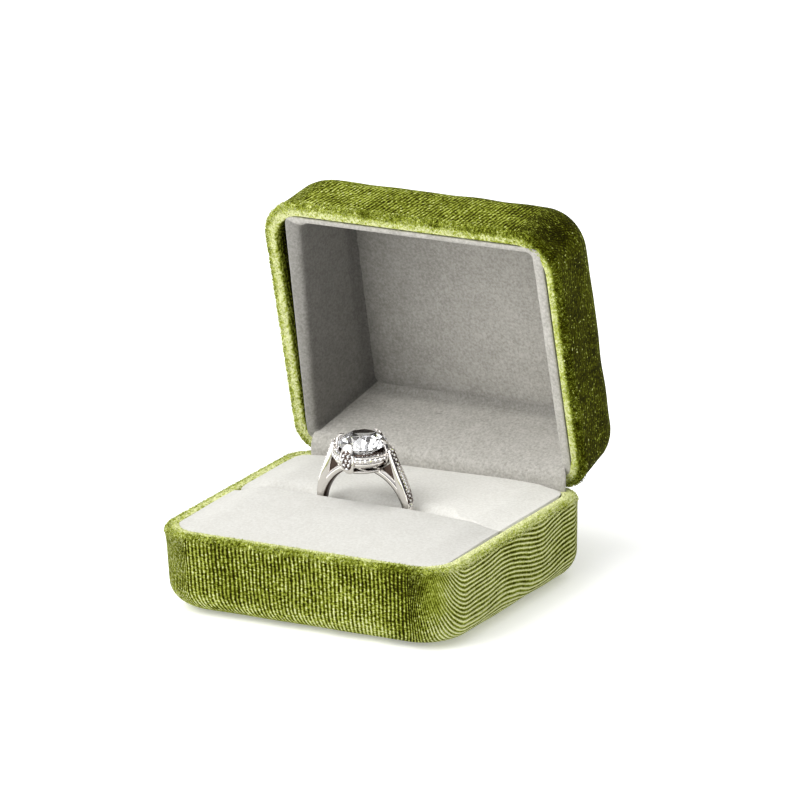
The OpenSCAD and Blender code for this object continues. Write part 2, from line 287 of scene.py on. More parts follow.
@dataclass(frozen=True)
class VelvetFinish:
    """Ribbed velvet whose pile lies this way and that.

    Attribute pile holds, for each point, its place on the flat cloth across and along the ribs, in
    millimetres, and its tone, where 0.5 is the middle green; the tone carries painted light and shade,
    painted highlights and painted shade by how each side faces the light. Attribute nap holds how strongly
    the ribs show, how speckled the pile is, and how far its bright tips show.
    """

    name: str
    pitch: float = 0.80
    rib: float = 0.64
    bead: float = 1.8
    grain: float = 1.8
    fleck: float = 6.0
    fleck_from: float = 0.63
    patch: float = 0.525
    blotch: float = 0.54
    sway: float = 0.90
    gain: float = 0.80
    bead_stretch: tuple[float, float] = (1.25, 3.0)
    sway_scale: float = 130
    grain_scale: float = 2100
    fleck_scale: float = 2300
    blotch_scale: float = 95
    patch_scale: float = 420

    def colours(self) -> list[tuple[float, Colour]]:
        """The pile's colours, from the dark foot of a rib to its bright tips."""
        shades = ((0.0, 34, 33, 0), (0.22, 68, 69, 2), (0.42, 108, 118, 30), (0.60, 154, 164, 58),
                  (0.80, 196, 206, 100), (1.0, 240, 244, 184))
        return [(stop, srgb(*shade, self.gain)) for stop, *shade in shades]

    def material(self) -> Material:
        """Builds the velvet."""
        graph = Graph(bpy.data.materials.new(self.name))
        place = graph.place()
        across, along, tone = graph.attribute("pile")
        ribbed, speckled, tips = graph.attribute("nap")
        swayed = graph.math("ADD", across, graph.times(graph.cloud(place, self.sway_scale), self.sway))
        wave = graph.math("SINE", graph.times(swayed, TURN / self.pitch))
        rib = graph.times(graph.times(wave, 0.5), ribbed)
        bead_across, bead_along = self.bead_stretch
        bead_place = graph.vector(graph.times(swayed, bead_across), graph.times(along, bead_along), 0.0)
        beads = graph.times(graph.cloud(bead_place, 1.0, 1, 0.6), graph.times(ribbed, speckled))
        grain = graph.times(graph.cloud(place, self.grain_scale, 2, 0.7), speckled)
        light = graph.math("SUBTRACT", graph.noise(place, self.fleck_scale, 1), self.fleck_from)
        flecks = graph.times(graph.math("SMOOTH_MAX", light, 0.0, 0.02), tips)
        value = tone
        for part, weight in ((rib, self.rib), (beads, self.bead), (grain, self.grain), (flecks, self.fleck),
                             (graph.cloud(place, self.blotch_scale, 3, 0.62, 0.5), self.blotch),
                             (graph.cloud(place, self.patch_scale, 2, 0.62, 0.5), self.patch)):
            value = graph.math("MULTIPLY_ADD", part, weight, value)
        graph.set(Base_Color=graph.ramp(value, self.colours()), Roughness=0.9, Sheen_Weight=0.04,
                  Sheen_Roughness=0.4, Sheen_Tint=srgb(226, 236, 130), Specular_IOR_Level=0.02)
        height = graph.math("ADD", graph.times(grain, 0.8), graph.math("ADD", beads, rib))
        graph.relief(height, 0.0003, 0.9)
        return graph.owner


@dataclass(frozen=True)
class SuedeFinish:
    """Fine brushed suede cloth."""

    name: str
    light: Colour
    dark: Colour
    nap: float = 0.00008

    def material(self) -> Material:
        """Builds the suede, scaled by twice the tone in attribute pile, which holds painted shade."""
        graph = Graph(bpy.data.materials.new(self.name))
        place = graph.place()
        grain = graph.noise(place, 2100, 2, 0.7)
        brushed = graph.noise(place, 260, 3, 0.65, 0.4)
        value = graph.math("MULTIPLY_ADD", grain, 0.75, graph.times(brushed, 0.25))
        colour = graph.ramp(value, ((0.36, self.dark), (0.64, self.light)))
        mix = graph.node("ShaderNodeVectorMath", operation="SCALE")
        graph.feed(mix.inputs[0], colour)
        graph.feed(mix.inputs["Scale"], graph.times(graph.attribute("pile")[2], 2.0))
        graph.set(Base_Color=mix.outputs[0], Roughness=0.92, Sheen_Weight=0.2, Sheen_Roughness=0.5,
                  Specular_IOR_Level=0.1)
        graph.relief(grain, self.nap, 0.7)
        return graph.owner


@dataclass(frozen=True)
class SolidFinish:
    """Metal, cut stone, card or moulded plastic of one colour."""

    name: str
    colour: Colour
    roughness: float = 0.8
    metallic: float = 0.0
    clear: float = 0.0
    index: float = 1.5

    def material(self) -> Material:
        """Builds the finish."""
        graph = Graph(bpy.data.materials.new(self.name))
        graph.set(Base_Color=self.colour, Roughness=self.roughness, Metallic=self.metallic,
                  Transmission_Weight=self.clear, IOR=self.index)
        return graph.owner


# ---------------------------------------------------------------- mesh helpers


def finished(name: str, bm: Mesh, material: Material, body: str | None,
             smooth_shade: bool = True) -> bpy.types.Object:
    """Turns a bmesh into a piece that rides on a body.

    Args:
        name: the piece's name.
        bm: its bmesh, in metres, which is freed.
        material: its material.
        body: the CAD body that it rides on, or None for a piece that rides on neither.
        smooth_shade: whether its faces are shaded smooth.

    Returns:
        The piece.
    """
    bmesh.ops.recalc_face_normals(bm, faces=bm.faces)
    for face in bm.faces:
        face.smooth = smooth_shade
    mesh = bpy.data.meshes.new(name)
    bm.to_mesh(mesh)
    bm.free()
    piece = placed(name, mesh)
    mesh.materials.append(material)
    if body:
        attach(piece, body)
    LOG.info("%s: %d faces", name, len(mesh.polygons))
    return piece


def lofted(columns: int, rows: int, place: Callable[[float, float], Vector],
           cloth: Callable[[float, float], Cloth] | None = None) -> Mesh:
    """Bends a grid into a closed skin.

    Args:
        columns: faces round the skin.
        rows: faces from its first end to its last.
        place: gives the point, in millimetres, at shares (round, along) of the grid.
        cloth: gives the attributes pile and nap at those shares.

    Returns:
        The skin, in metres, with its seam and its ends merged.
    """
    bm = bmesh.new()
    bmesh.ops.create_grid(bm, x_segments=columns, y_segments=rows, size=0.5)
    layers = [bm.verts.layers.float_vector.new(name) for name in ("pile", "nap")] if cloth else []
    for vert in bm.verts:
        shares = (vert.co.x + 0.5, vert.co.y + 0.5)
        for layer, value in zip(layers, cloth(*shares) if cloth else ()):
            vert[layer] = value
        vert.co = place(*shares) * MM
    bmesh.ops.remove_doubles(bm, verts=bm.verts, dist=1e-6)
    return bm


def lathed(profile: Iterable[tuple[float, float]], steps: int, centre: Vector, axis: Vector) -> Mesh:
    """Spins a closed profile about an axis.

    Args:
        profile: its (radius, height) pairs, in millimetres.
        steps: faces round the axis.
        centre: the axis's foot, in millimetres.
        axis: the axis's direction.

    Returns:
        The turned skin, in metres.
    """
    bm = bmesh.new()
    side = Vector((1, 0, 0))
    verts = [bm.verts.new((centre + side * radius + axis * height) * MM) for radius, height in profile]
    edges = [bm.edges.new(pair) for pair in zip(verts, verts[1:] + verts[:1])]
    bmesh.ops.spin(bm, geom=verts + edges, cent=centre * MM, axis=axis, dvec=(0, 0, 0), angle=TURN,
                   steps=steps, use_merge=True, use_duplicate=False)
    bmesh.ops.remove_doubles(bm, verts=bm.verts, dist=1e-6)
    return bm


def slab(corners: Sequence[Vector], round_by: float, cuts: int) -> Mesh:
    """Six-sided block with rounded edges.

    Args:
        corners: eight corners in millimetres, ordered by x, then y, then z, low before high.
        round_by: radius of the edges.
        cuts: cuts across each side.

    Returns:
        The block, in metres.
    """
    bm = bmesh.new()
    bmesh.ops.create_cube(bm, size=1.0)
    for vert in bm.verts:
        index = 4 * (vert.co.x > 0) + 2 * (vert.co.y > 0) + (vert.co.z > 0)
        vert.co = corners[index] * MM
    bmesh.ops.subdivide_edges(bm, edges=bm.edges, cuts=cuts, use_grid_fill=True)
    sharp = [edge for edge in bm.edges if len(edge.link_faces) == 2 and edge.calc_face_angle(0) > 0.5]
    bmesh.ops.bevel(bm, geom=sharp, offset=round_by * MM, affect="EDGES", segments=3, profile=0.5,
                    material=-1)
    return bm


def joined(parts: Iterable[Mesh]) -> Mesh:
    """Puts several bmeshes into one and frees them."""
    whole = bmesh.new()
    for part in parts:
        mesh = bpy.data.meshes.new("part")
        part.to_mesh(mesh)
        part.free()
        whole.from_mesh(mesh)
        bpy.data.meshes.remove(mesh)
    return whole


# ---------------------------------------------------------------- the two halves


class Half(Enum):
    """Which half of the box a cover is for."""

    BASE = "base"
    LID = "lid"


@dataclass(frozen=True)
class HalfForm:
    """Outside form of one half, in millimetres, drawn with its open side at height 0."""

    height: float
    edge: float
    edge_height: float
    draft_x: float
    draft_y: float
    corner: float = 7.5
    rim: float = 1.2

    def inset_at(self, height: float) -> tuple[float, float]:
        """How far the outside stands in from the full size, at a height over the rim."""
        rise = self.height - self.edge_height
        curve = 0.0
        if height > rise:
            turn = math.asin(min((height - rise) / self.edge_height, 1.0))
            curve = self.edge * (1 - math.cos(turn))
        low = min(max(height, 0.0), rise)
        return curve + self.draft_x * low, curve + self.draft_y * low


class Outline:
    """A rounded rectangle walked once round, from the middle of its rear side, with tighter rear corners."""

    rear_share = 0.68

    def __init__(self, half_x: float, half_y: float, corner: float) -> None:
        """Works out the lengths of its eight stretches."""
        side_x = half_x - corner
        side_y = half_y - corner
        arc = corner * QUARTER
        self.stretches = (side_x, arc, 2 * side_y, arc, 2 * side_x, arc, 2 * side_y, arc, side_x)
        self.length = sum(self.stretches)

    def at(self, share: float, half_x: float, half_y: float, corner: float) -> tuple[Vector, Vector]:
        """Point and outward normal on a rectangle of another size, at the same share of each stretch.

        Args:
            share: place on the walk, 0 to 1.
            half_x: half the rectangle's width.
            half_y: half its depth.
            corner: its corner radius.

        Returns:
            The point and its outward normal.
        """
        left = share * self.length
        index = 0
        while index < 8 and left > self.stretches[index]:
            left -= self.stretches[index]
            index += 1
        part = left / self.stretches[index]
        rear = corner * self.rear_share
        flat_x, flat_y = half_x - corner, half_y - corner
        rear_x, rear_y = half_x - rear, half_y - rear
        if index % 2:
            turn = QUARTER - (index // 2 + part) * QUARTER
            middles = ((rear_x, rear_y), (flat_x, -flat_y), (-flat_x, -flat_y), (-rear_x, rear_y))
            normal = level(turn)
            return Vector((*middles[index // 2], 0)) + normal * (rear if index in (1, 7) else corner), normal
        sides = (
            ((0, half_y), (rear_x, half_y), (0, 1)),
            ((half_x, rear_y), (half_x, -flat_y), (1, 0)),
            ((flat_x, -half_y), (-flat_x, -half_y), (0, -1)),
            ((-half_x, -flat_y), (-half_x, rear_y), (-1, 0)),
            ((-rear_x, half_y), (0, half_y), (0, 1)),
        )
        start, end, normal_xy = sides[index // 2]
        return Vector((*start, 0)).lerp(Vector((*end, 0)), part), Vector((*normal_xy, 0))


@dataclass
class VelvetCover:
    """The velvet over one half: outside, rim and the edge that is turned in."""

    half: Half
    form: HalfForm
    name: str
    flat: tuple[float, float]
    flat_area: float
    lay_angle: float = 0.0
    side_share: float = 0.94
    columns: int = 264
    outline: Outline = field(init=False)
    path: list[Row] = field(init=False)

    def __post_init__(self) -> None:
        """Walks the section from the middle of the closed side to the turned-in edge and back inside."""
        self.outline = Outline(BOX_W / 2, BOX_D / 2, self.form.corner)
        self.path = self.section()

    def section(self) -> list[Row]:
        """Rows of the skin as (height over the rim, inset, shrink towards the middle)."""
        form = self.form
        top, rise, rim = form.height, form.height - form.edge_height, form.rim
        inner, back = LIP - VELVET_T + FIT, VELVET_T - FIT
        wall_rows = max(int((rise - rim) / 0.9), 3)
        rows = [(top, 0.0, k / 16) for k in range(16, 0, -1)]
        rows += [(rise + form.edge_height * math.sin(QUARTER * (1 - k / 12)), 0.0, 0.0) for k in range(12)]
        rows += [(blend(rise, rim, k / wall_rows), 0.0, 0.0) for k in range(wall_rows)]
        rows += [(rim * (1 - math.sin(QUARTER * k / 6)), rim * (1 - math.cos(QUARTER * k / 6)), 0.0)
                 for k in range(7)]
        rows += [(0.0, blend(rim, LIP - 0.35, k / 3), 0.0) for k in range(1, 4)]
        rows += [(0.12, LIP - 0.1, 0.0)] + [(height, LIP, 0.0) for height in (0.4, 1.2, 2.1, TUCK)]
        rows += [(TUCK, inner, 0.0), (VELVET_T + FIT, inner, 0.0), (VELVET_T + FIT, back, 0.0)]
        rows += [(blend(rim, rise, k / 3), back, 0.0) for k in range(4)]
        rows += [(rise + (form.edge_height - back) * math.sin(QUARTER * k / 5), back, 0.0)
                 for k in range(1, 6)]
        return rows + [(top - back, back, k / 3) for k in range(1, 4)]

    def slice(self, height: float, inset: float) -> tuple[float, float, float]:
        """Half width, half depth and corner radius of the skin at a height over the rim and an inset."""
        curve_x, curve_y = self.form.inset_at(height)
        corner = max(self.form.corner - 0.3 * min(curve_x, curve_y) - 0.8 * inset, 1.0)
        return BOX_W / 2 - curve_x - inset, BOX_D / 2 - curve_y - inset, corner

    def place(self, round_share: float, along_share: float) -> Vector:
        """Point of the skin, in millimetres in the object's frame."""
        height, inset, shrink = nearest(self.path, along_share)
        sizes = [size * (1 - shrink) for size in self.slice(height, inset)]
        point, normal = self.outline.at(round_share, *sizes)
        if point.y > REAR_Y and abs(point.x) < HINGE_HALF + 1.2 and height < 1.25 and shrink == 0:
            drop = 1 - smooth(HINGE_HALF - 0.2, HINGE_HALF + 1.0, abs(point.x))
            height = blend(height, max(height, 1.25), drop)
        if shrink == 0 and inset < 0.1 and height > 0.5:
            wobble = noise.noise(Vector((point.x, point.y, height + 40)) * 0.16) * 0.22
            point += normal * wobble * smooth(0.5, 3, height)
        return self.set_down(point, height)

    def set_down(self, point: Vector, height: float) -> Vector:
        """Puts a point at a height over the rim on the base or on the open lid."""
        if self.half is Half.BASE:
            return Vector((point.x, point.y, BASE_H - height * (BASE_H - BASE_FLOOR) / BASE_H))
        return opened(Vector((point.x, point.y, BASE_H + RIM_GAP + height)))

    def cloth(self, round_share: float, along_share: float) -> Cloth:
        """Place on the flat cloth across and along the ribs with the tone of painted light and shade, and the
        pile's nap.
        """
        height, inset, shrink = nearest(self.path, along_share)
        half_x, half_y, corner = self.slice(self.form.height, 0.0)
        keep = 1 - shrink
        flat_point, normal = self.outline.at(round_share, half_x * keep, half_y * keep, corner * keep)
        reach = 0.0 if shrink > 0 else self.reach_at(height) + inset * 0.9
        wave = 1.5 * hump(flat_point.y, 7, 5) - 0.7 * hump(flat_point.y, -4, 5)
        spread = (BOX_W / 2 - self.form.corner) / (half_x - corner)
        wave *= smooth(0.5, 1, abs(normal.x))
        u = flat_point.x * spread + normal.x * (reach * self.side_share + wave)
        v = flat_point.y + normal.y * reach
        cos_a, sin_a = math.cos(self.lay_angle), math.sin(self.lay_angle)
        spot = flat_point + normal * min(reach, 8)
        tone = self.tone(spot, normal, height, inset, shrink)
        pile = Vector((u * cos_a + v * sin_a, v * cos_a - u * sin_a, tone))
        return pile, self.nap(spot, normal, height)

    def nap(self, point: Vector, normal: Vector, height: float) -> Vector:
        """How strongly the ribs, the speckle and the bright tips show."""
        front = smooth(0.3, 0.9, -normal.y)
        right = smooth(0.3, 0.9, normal.x)
        if self.half is Half.BASE:
            rim = 1 - smooth(0.3, 1.1, height)
            corner = hump(normal.x, 0.6, 0.3) * smooth(0, 0.5, -normal.y)
            ribbed = 1 + 0.35 * right - 0.8 * corner * smooth(12, 6, height)
            return Vector((ribbed * (1 - 0.85 * rim), 0.75 - 0.48 * right + 0.35 * rim, 0.2))
        rim = 1 - smooth(0.3, 1.2, height)
        ribbed = 0.30 + 0.28 * front - 0.16 * right
        return Vector((ribbed * (1 - rim), 0.9 - 0.3 * right + 0.1 * rim, 0.5 + 0.4 * right))

    def reach_at(self, height: float) -> float:
        """Length of cloth from the closed side's flat to a height over the rim."""
        form = self.form
        rise = form.height - form.edge_height
        bend = QUARTER * (form.edge + form.edge_height) / 2
        if height >= rise:
            turn = math.asin(min((height - rise) / form.edge_height, 1.0))
            return bend * (1 - turn / QUARTER)
        return bend + rise - height

    def tone(self, point: Vector, normal: Vector, height: float, inset: float, shrink: float) -> float:
        """Painted light and shade on the pile at a point, where 0.5 is the middle green."""
        if shrink > 0:
            return 0.5
        front = smooth(0.3, 0.9, -normal.y)
        right = smooth(0.3, 0.9, normal.x)
        # Painted highlight on the fold where the edge turns in over the rim.
        fold = smooth(0.7, 1.6, inset) * (1 - smooth(0.1, 0.6, height))
        if self.half is Half.BASE:
            # Base: the right side painted lighter, darker patches across the front, and painted highlights
            # near the rounded bottom edge and along the rim.
            dark = 0.03 * hump(point.x, 0, 14) + 0.27 * hump(point.x, 20.0, 3.8)
            dark += 0.10 * hump(point.x, -13, 3.5) + 0.06 * hump(height, 3.5, 2)
            value = 0.47 + 0.21 * right - dark * front + 0.17 * smooth(9, 13.5, height)
            value += 0.12 * (1 - smooth(0.25, 1.1, height)) + (0.30 + 0.12 * right) * fold
        else:
            # Lid: painted shade on the front towards the right and on the right side, a painted highlight
            # near the right side's rounded outer edge, painted highlights along the rim, and painted shade on
            # the left side's turned-in edge.
            left = smooth(0.3, 0.9, -normal.x)
            rim = 1 - smooth(1.0, 2.2, height)
            value = 0.41 - 0.32 * front * smooth(-2, 27, point.x)
            value += (0.17 * smooth(8.5, 17, height) - 0.26) * right
            value += (0.14 + 0.10 * left) * (1 - 0.5 * right) * rim + (0.34 + 0.26 * right) * fold
            value -= 0.3 * left * smooth(1.9, 2.6, inset)
        # The deeper turned-in edge gets a little more painted highlight.
        return value + 0.05 if inset > 1.5 else value

    def build(self, material: Material) -> None:
        """Makes the cover and rides it on its half."""
        body = self.half.value
        bm = lofted(self.columns, len(self.path) - 1, self.place, self.cloth)
        piece = finished(self.name, bm, material, body)
        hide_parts(f"{body}_velvet")


# ---------------------------------------------------------------- suede


def suede(tone: float) -> Cloth:
    """The attributes pile and nap of suede with a tone of painted shade, where 0.5 leaves its colour as it
    is.
    """
    return Vector((0, 0, tone)), Vector()


def padded(name: str, bm: Mesh, material: Material, body: str, nodes: Sequence[str]) -> bpy.types.Object:
    """Makes a padded suede piece that stands for CAD nodes."""
    piece = finished(name, bm, material, body)
    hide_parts(*nodes)
    return piece


@dataclass
class Liner:
    """Suede over the lid's four boards and top panel, drawn on the closed lid, in millimetres."""

    proud: float = 0.05
    depth: float = 14.2
    panel_t: float = 1.0
    panel_half: tuple[float, float] = (22.0, 18.8)
    fillet: float = 1.3
    corner: float = 1.5
    window: Plan = ((-22.1, -21.3), (25.2, -21.3), (25.5, 21.0), (-25.2, 21.0))
    outside: Plan = ((-25.2, -22.35), (27.25, -22.35), (27.35, 22.35), (-27.35, 22.35))
    deep_window: Plan = ((-20.4, -17.6), (20.6, -17.6), (20.6, 17.9), (-21.1, 17.9))
    deep_outside: Plan = ((-22.0, -18.6), (22.2, -18.6), (22.2, 18.9), (-22.6, 18.9))
    path: list[Row] = field(init=False)

    def __post_init__(self) -> None:
        """Walks the boards' section from the outside over the rim and down inside."""
        self.path = self.section()

    def around(self, corners: Sequence[Vector], share: float, inward: float) -> Vector:
        """Point on the walk round four rounded corners.

        Args:
            corners: the four corners in plan.
            share: place on the walk, 0 to 1, from the first corner.
            inward: how far the walk is pulled in.

        Returns:
            The point in plan.
        """
        bend = 0.1
        index = int(share * 4) % 4
        part = share * 4 - int(share * 4)
        near, far = corners[index], corners[(index + 1) % 4]
        lead = (far - near).normalized()
        side = Vector((-lead.y, lead.x))
        if bend <= part <= 1 - bend:
            spot = (near + lead * self.corner).lerp(far - lead * self.corner, (part - bend) / (1 - 2 * bend))
            return spot + side * inward
        corner, turn = (near, 1 + part / bend) if part < bend else (far, 1 + (part - 1) / bend)
        turn /= 2
        at = corners.index(corner)
        back = (corners[at - 1] - corner).normalized()
        on = (corners[(at + 1) % 4] - corner).normalized()
        start, end = corner + back * self.corner, corner + on * self.corner
        spot = start * (1 - turn) ** 2 + corner * (2 * turn * (1 - turn)) + end * turn ** 2
        return spot + (back + on) * inward

    def section(self) -> list[Row]:
        """Rows of the skin as (share from the window to the outside, depth, pull inward)."""
        low, high, round_by = -self.proud, self.depth, self.fillet
        step = ((1.0, 0.5), (0.96, 0.22), (0.86, 0.05), (0.70, 0.0), (0.45, -0.03), (0.26, 0.02),
                (0.12, 0.14), (0.03, 0.4), (0.0, 0.8))
        rows = [(1.0, high, 0.0), (1.0, 4.0, 0.0)] + [(mix, low + rise, 0.0) for mix, rise in step]
        rows += [(0.0, blend(low + 1.4, high - round_by, k / 16), 0.0) for k in range(17)]
        turns = [QUARTER * k / 5 for k in range(1, 6)]
        rows += [(0.0, high - round_by * (1 - math.sin(turn)), round_by * (1 - math.cos(turn)))
                 for turn in turns]
        return rows + [(1.0, high, 0.0)]

    def place(self, round_share: float, along_share: float) -> Vector:
        """Point of the skin over the four boards, on the open lid."""
        mix, depth, inward = nearest(self.path, along_share)
        deep = (depth + self.proud) / (self.depth + self.proud)
        inner = [Vector(a).lerp(Vector(b), deep) for a, b in zip(self.window, self.deep_window)]
        outer = [Vector(a).lerp(Vector(b), deep) for a, b in zip(self.outside, self.deep_outside)]
        spot = self.around([a.lerp(b, mix) for a, b in zip(inner, outer)], round_share, inward)
        ripple = noise.noise(Vector((spot.x, spot.y, depth)) * 0.5) * 0.07
        return opened(Vector((spot.x, spot.y + ripple, BASE_H + RIM_GAP + depth + ripple)))

    def cloth(self, round_share: float, along_share: float) -> Cloth:
        """The suede's tone, all painted shade: the left board dark, the rear board a little darker, and
        darker still in the corners and towards the deep end.
        """
        mix, depth, _ = nearest(self.path, along_share)
        side = int(round_share * 4) % 4
        part = round_share * 4 - int(round_share * 4)
        inside = 1 - smooth(0.0, 0.25, mix)
        near_corner = 1 - smooth(0.03, 0.14, min(part, 1 - part))
        # Painted shade by board, front, right, rear and left: the left board, which faces away from the key,
        # darkest.
        tone = (0.5, 0.5, 0.48, 0.27)[side]
        if side == 3:
            tone = blend(tone, blend(0.19, 0.16, part), inside * smooth(-0.2, 1.0, depth))
        # Painted shade in the inner corners and towards the deep end by the panel.
        tone *= 1 - 0.22 * inside * near_corner * smooth(0, 3, depth)
        tone *= 1 - 0.36 * inside * smooth(self.depth - 3.4, self.depth, depth)
        return suede(tone)

    def build(self, material: Material) -> None:
        """Makes the skin over the boards, and the panel."""
        bm = lofted(160, len(self.path) - 1, self.place, self.cloth)
        boards = ("liner_front", "liner_right", "liner_rear", "liner_left")
        padded("liner_wrap", bm, material, "lid", boards)
        half_x, half_y = self.panel_half
        corners = [
            opened(Vector((x, y, BASE_H + RIM_GAP + z)))
            for x in (-half_x, half_x) for y in (-half_y, half_y)
            for z in (self.depth - 0.12, self.depth + self.panel_t)
        ]
        bm = slab(corners, 0.2, cuts=24)
        pile = bm.verts.layers.float_vector.new("pile")
        low = min(vert.co.z for vert in bm.verts)
        for vert in bm.verts:
            x, rise = vert.co.x / MM, (vert.co.z - low) / MM
            # Painted shade on the panel: darker towards the left and higher up, and darker near its edges.
            light = blend(0.56, 0.92, smooth(-24, 13, x)) * blend(1.0, 0.86, smooth(14, 38, rise))
            edge = min(20.6 - abs(x), rise - 0.4, 37.5 - rise)
            vert[pile] = Vector((0, 0, 0.5 * light * blend(0.7, 1.0, smooth(0.3, 3.6, edge))))
        padded("suede_panel", bm, material, "lid", ("liner_panel",))


@dataclass
class HingeFlap:
    """Suede that carries on from the lid's rear board to the cushion and covers the hinge.

    The path's stations are (y, z, half width, shift to the right) in millimetres at rest, and the last of
    them sink into the board's own suede.
    """

    thick: float = 0.4
    path: tuple[tuple[float, ...], ...] = (
        (22.3, 13.6, 26.1, 0.9), (22.15, 15.0, 26.1, 0.9), (22.15, 16.2, 26.1, 0.9), (22.35, 17.2, 26.1, 0.9),
        (22.8, 17.95, 26.0, 0.8), (23.5, 18.5, 25.8, 0.5), (24.9, 19.08, 25.3, 0.1), (27.0, 19.92, 24.7, 0.0),
        (29.4, 20.82, 24.1, 0.0), (31.5, 21.52, 23.5, -0.1), (33.2, 22.05, 23.0, -0.1))

    def place(self, round_share: float, along_share: float) -> Vector:
        """Point of the flap: rows climb from the cushion to the board, columns go round it."""
        y, z, half, shift = station(self.path, along_share)
        index = min(int(along_share * (len(self.path) - 1)), len(self.path) - 2)
        (y_a, z_a, *_), (y_b, z_b, *_) = self.path[index], self.path[index + 1]
        lead = Vector((0, y_b - y_a, z_b - z_a)).normalized()
        out = Vector((0, -lead.z, lead.y))
        angle = TURN * round_share
        across = half * max(min(math.cos(angle) * 1.02, 1), -1)
        side = self.thick / 2 * (1 if math.sin(angle) > 0 else -1) * (abs(math.sin(angle)) ** 0.2)
        return Vector((shift + across, y, z)) + out * side

    def cloth(self, round_share: float, along_share: float) -> Cloth:
        """The suede's tone: the rear board's slight painted shade."""
        return suede(0.48)

    def build(self, material: Material) -> None:
        """Makes the flap, which bends across the hinge."""
        bm = lofted(80, 30, self.place, self.cloth)
        bmesh.ops.edgeloop_fill(bm, edges=[edge for edge in bm.edges if edge.is_boundary])
        piece = finished("hinge_flap", bm, material, None)
        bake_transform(piece)


# ---------------------------------------------------------------- cushion


class Roll(Enum):
    """The two rolls of the cushion."""

    FRONT = "front"
    REAR = "rear"


@dataclass
class CushionRoll:
    """One suede-covered foam roll, in millimetres."""

    roll: Roll
    reach: float = 27.3
    tight: float = 0.06
    fit: tuple[float, float, float] = (24.45, 19.4, 2.8)
    columns: int = 96
    rows: int = 130
    crest_y: Plan = ((-27, -0.4), (-20, 0.3), (-6.5, -0.1), (8.5, -0.3), (27, -1.2))
    slot: Plan = ((-27, 1.2), (-13, 2.2), (-6, 2.7), (6, 2.7), (14, 1.2), (20, 0.25), (27, 0.1))
    depth: Plan = ((-27, 12.0), (-22, 8.0), (9, 7.0), (14, 12.0), (19, 15.4), (27, 15.9))

    def top(self, x: float, share: float) -> tuple[float, float]:
        """The roll's face from the slot's foot, over the crest, to the box's wall.

        Args:
            x: place along the roll.
            share: 0 at the slot's foot, 1 at the wall.

        Returns:
            The point's y and z.
        """
        crest_y = track(self.crest_y, x)
        foot_z = track(self.depth, x)
        if self.roll is Roll.FRONT:
            edge, turn, crest_z, wall_z, wall_y = crest_y, 0.9, 16.55, 14.5, -22.25
            direction = -1
        else:
            edge, turn, crest_z, wall_z, wall_y = crest_y + track(self.slot, x), 3.6, 16.3, 15.4, 22.2
            direction = 1
            wall_z += 0.6 * smooth(-25, 20, x)
        crest_z -= 0.25 * smooth(8, 24, x)
        turn = min(turn, crest_z - foot_z)
        if share < 0.3:
            return edge, blend(foot_z, crest_z - turn, share / 0.3)
        if share < 0.6:
            angle = QUARTER * (share - 0.3) / 0.3
            return edge + direction * turn * (1 - math.cos(angle)), crest_z - turn * (1 - math.sin(angle))
        part = (share - 0.6) / 0.4
        start = edge + direction * turn
        fall = (1 - math.cos(QUARTER * part)) if self.roll is Roll.FRONT else part ** 3
        return blend(start, wall_y, part), crest_z - (crest_z - wall_z) * fall

    def place(self, round_share: float, along_share: float) -> Vector:
        """Point of the roll's closed skin."""
        x = -self.reach * math.cos(math.pi * blend(self.tight, 1 - self.tight, along_share))
        x /= math.cos(math.pi * self.tight)
        if round_share <= 0.8:
            y, z = self.top(x, round_share / 0.8)
        else:
            part = (round_share - 0.8) / 0.2
            y_a, z_a = self.top(x, 1.0)
            y_b, z_b = self.top(x, 0.0)
            low = FOAM_Z + 0.1
            if part < 0.3:
                y, z = y_a * blend(1, 0.93, part / 0.3), blend(z_a, low, part / 0.3)
            elif part < 0.7:
                y, z = blend(y_a * 0.93, y_b, (part - 0.3) / 0.4), low
            else:
                y, z = y_b, blend(low, z_b, (part - 0.7) / 0.3)
        middle_y = -11.0 if self.roll is Roll.FRONT else 12.0
        z -= 0.8 * max(z - 14.9, 0.0) * smooth(self.reach - 6.5, self.reach, abs(x))
        if along_share in (0.0, 1.0):
            y, z = middle_y, 11.0
        flat_x, flat_y, turn = self.fit
        corner = math.hypot(max(abs(x) - flat_x, 0), max(abs(y) - flat_y, 0))
        if corner > turn:
            pull = turn / corner
            x = math.copysign(flat_x + max(abs(x) - flat_x, 0) * pull, x) if abs(x) > flat_x else x
            y = math.copysign(flat_y + max(abs(y) - flat_y, 0) * pull, y) if abs(y) > flat_y else y
        ripple = noise.noise(Vector((x * 0.09, y * 0.12, 3.0))) * 0.16
        return Vector((x, y, z + ripple * smooth(12, 15, z)))

    def cloth(self, round_share: float, along_share: float) -> Cloth:
        """The suede's tone: painted shade darkens the left end of the rear roll."""
        x = -math.cos(math.pi * along_share) * self.reach
        dim = 0.17 * (1 - smooth(-22, 2, x)) if self.roll is Roll.REAR else 0.0
        return suede(0.5 * (1 - dim))

    def build(self, material: Material) -> None:
        """Makes the roll, which rides on the base."""
        bm = lofted(self.columns, self.rows, self.place, self.cloth)
        name = self.roll.value
        piece = padded(f"{name}_roll", bm, material, "base", (f"{name}_cover", f"{name}_foam"))
        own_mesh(piece)


# ---------------------------------------------------------------- ring


